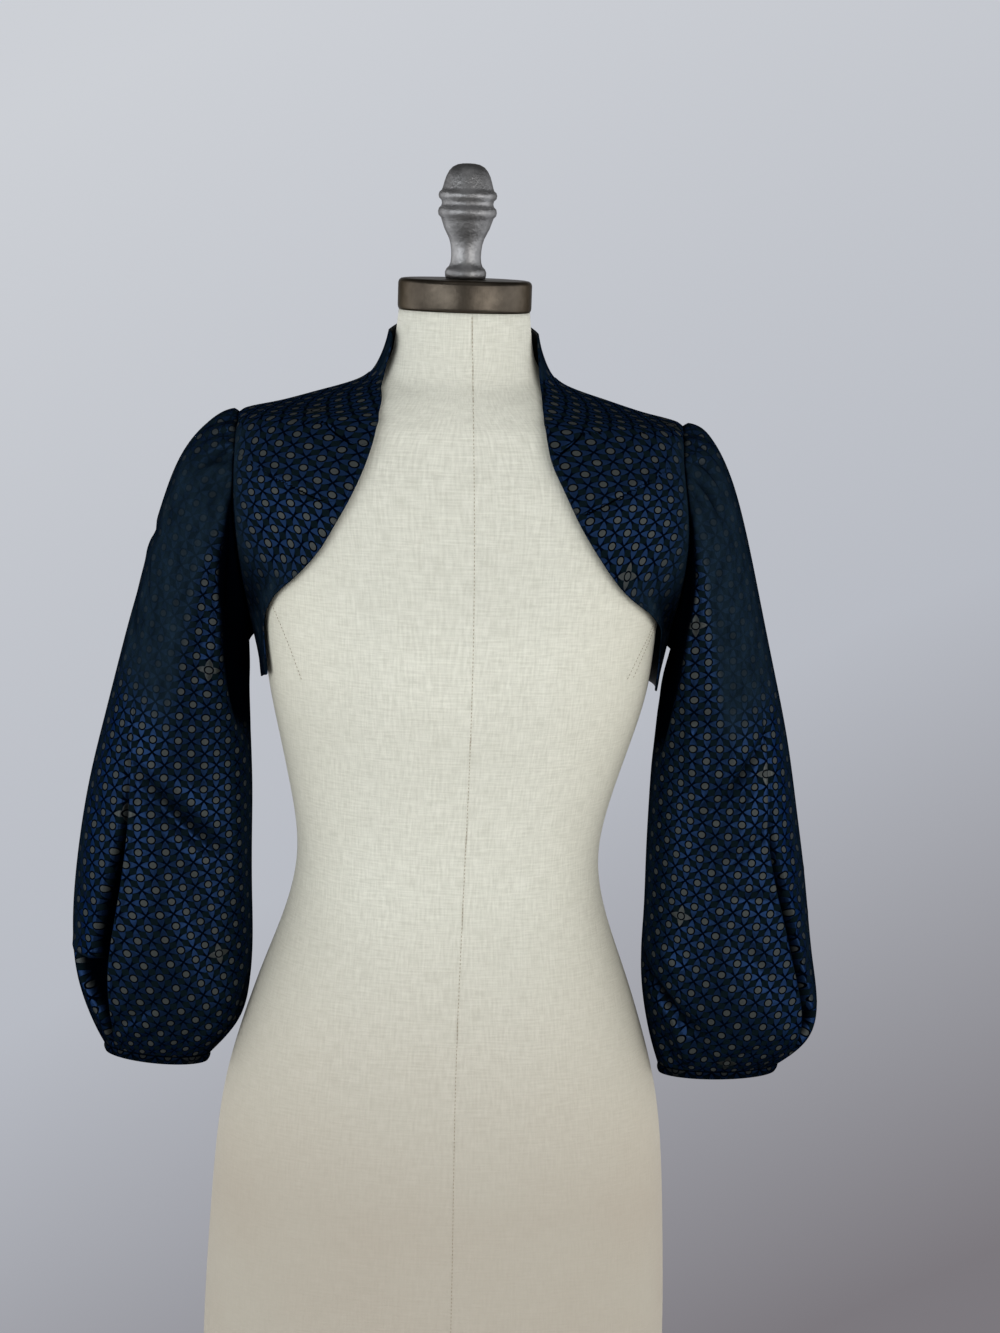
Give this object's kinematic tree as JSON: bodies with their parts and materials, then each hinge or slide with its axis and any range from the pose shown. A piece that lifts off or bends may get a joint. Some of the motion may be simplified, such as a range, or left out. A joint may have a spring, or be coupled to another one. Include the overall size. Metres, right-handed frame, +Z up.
{
  "type": "bolero shrug on a dress form",
  "caption": "Cropped open bolero shrug with a stand collar and balloon three-quarter sleeves in dark printed satin, worn by a limbless linen dress form on a pole stand",
  "frame": {"origin": "on the floor, at the middle of the round base's underside", "axes": "+Z up; the wearer faces -Y, so +X is the wearer's left"},
  "size_m": [0.5877, 0.38, 1.519],
  "materials": {
    "printed_satin": "dark navy satin with a small dot-and-petal repeat",
    "cream_linen": "plain-woven cream linen, matte",
    "aged_nickel": "aged dark nickel, satin",
    "cast_pewter": "cast, lightly worn",
    "black_paint": "satin black"
  },
  "bodies": {
    "root": {"front_right": "printed_satin", "front_left": "printed_satin", "back": "printed_satin", "collar": "printed_satin", "sleeve_right": "printed_satin", "sleeve_left": "printed_satin", "sleeve_band_right": "printed_satin", "sleeve_band_left": "printed_satin", "torso": "cream_linen", "neck_cap": "aged_nickel", "finial": "cast_pewter", "pole": "black_paint", "pole_socket": "black_paint", "base": "black_paint"}
  },
  "joints": []
}
